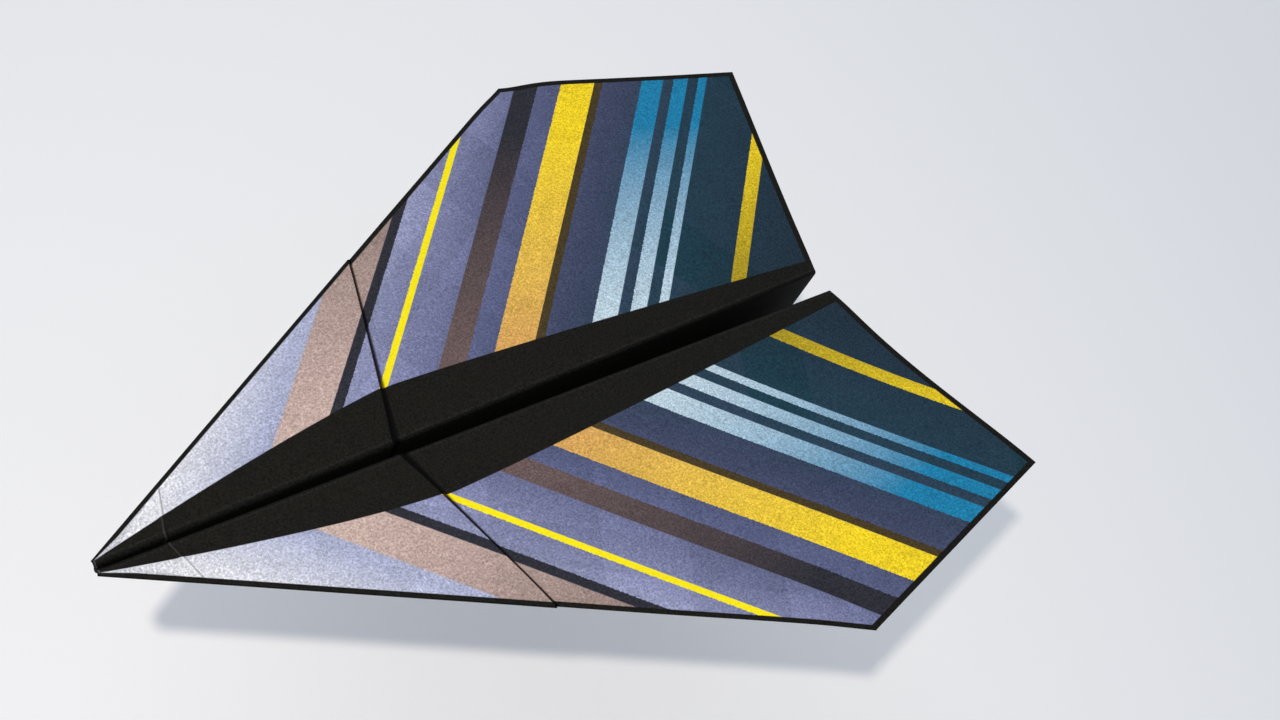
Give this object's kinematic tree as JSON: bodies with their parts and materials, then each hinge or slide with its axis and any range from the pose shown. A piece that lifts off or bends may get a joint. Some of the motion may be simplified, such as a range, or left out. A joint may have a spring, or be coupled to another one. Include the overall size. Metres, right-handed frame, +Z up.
{
  "type": "paper hand glider",
  "caption": "Wide dart folded from one printed paper sheet and thrown by hand: a pinched V keel, hinged wings with turned-under leading edges, and a doubled nose for balance.",
  "frame": {"origin": "on the middle plane of the keel, between the thumb and finger that hold it, right under the balance point", "axes": "+X forward to the nose, +Y to port, +Z up, with both wing creases level"},
  "size_m": [0.1925, 0.159, 0.0498],
  "materials": {
    "nose_print": "matt inkjet print, pale lavender, fine fibre grain",
    "wing_print": "matt inkjet print, dark teal with cyan, yellow and orange figures, fine fibre grain",
    "groove_print": "matt inkjet print, near black",
    "flap_print": "matt paper, pale grey lavender"
  },
  "bodies": {
    "keel_crease": {"keel_fold": "groove_print"},
    "left_keel": {"left_keel_nose_top_ply": "groove_print", "left_keel_nose_inner_ply": "groove_print", "left_keel_panel": "groove_print", "left_keel_flap_panel": "flap_print", "left_keel_flap_inner_ply": "flap_print", "left_keel_flap_outer_ply": "flap_print", "left_keel_edge_fold": "flap_print", "left_wing_crease": "groove_print", "left_wing_crease_nose": "groove_print"},
    "left_wing": {"left_wing_nose_top_ply": "nose_print", "left_wing_nose_inner_ply": "nose_print", "left_wing_panel": "wing_print", "left_wing_flap_panel": "flap_print", "left_wing_flap_inner_ply": "flap_print", "left_wing_flap_outer_ply": "flap_print", "left_leading_fold": "wing_print", "left_leading_fold_nose": "nose_print", "left_seam_fold": "nose_print", "left_flap_seam_fold": "flap_print"},
    "right_keel": {"right_keel_nose_top_ply": "groove_print", "right_keel_nose_inner_ply": "groove_print", "right_keel_panel": "groove_print", "right_keel_flap_panel": "flap_print", "right_keel_flap_inner_ply": "flap_print", "right_keel_flap_outer_ply": "flap_print", "right_keel_edge_fold": "flap_print", "right_wing_crease": "groove_print", "right_wing_crease_nose": "groove_print"},
    "right_wing": {"right_wing_nose_top_ply": "nose_print", "right_wing_nose_inner_ply": "nose_print", "right_wing_panel": "wing_print", "right_wing_flap_panel": "flap_print", "right_wing_flap_inner_ply": "flap_print", "right_wing_flap_outer_ply": "flap_print", "right_leading_fold": "wing_print", "right_leading_fold_nose": "nose_print", "right_seam_fold": "nose_print", "right_flap_seam_fold": "flap_print"}
  },
  "joints": [
    {"name": "left_keel_spread", "type": "hinge", "parent": "keel_crease", "child": "left_keel", "pos_m": [0.089, 0, 0.012], "axis": [-0.9663, 0, -0.2573], "range_deg": [-2.5, 9]},
    {"name": "right_keel_spread", "type": "hinge", "parent": "keel_crease", "child": "right_keel", "pos_m": [0.089, 0, 0.012], "axis": [0.9663, 0, 0.2573], "range_deg": [-2.5, 9]},
    {"name": "left_wing_fold", "type": "hinge", "parent": "left_keel", "child": "left_wing", "pos_m": [0.08902, 0.0014, 0.01193], "axis": [0.9999, -0.0126, 0], "range_deg": [-90, 80], "deforming": ["left_wing_crease", "left_wing_crease_nose"]},
    {"name": "right_wing_fold", "type": "hinge", "parent": "right_keel", "child": "right_wing", "pos_m": [0.08902, -0.0014, 0.01193], "axis": [-0.9999, -0.0126, 0], "range_deg": [-90, 80], "deforming": ["right_wing_crease", "right_wing_crease_nose"]}
  ],
  "couplings": [
    {"joint": "right_keel_spread", "follows": "left_keel_spread", "ratio": 1}
  ]
}
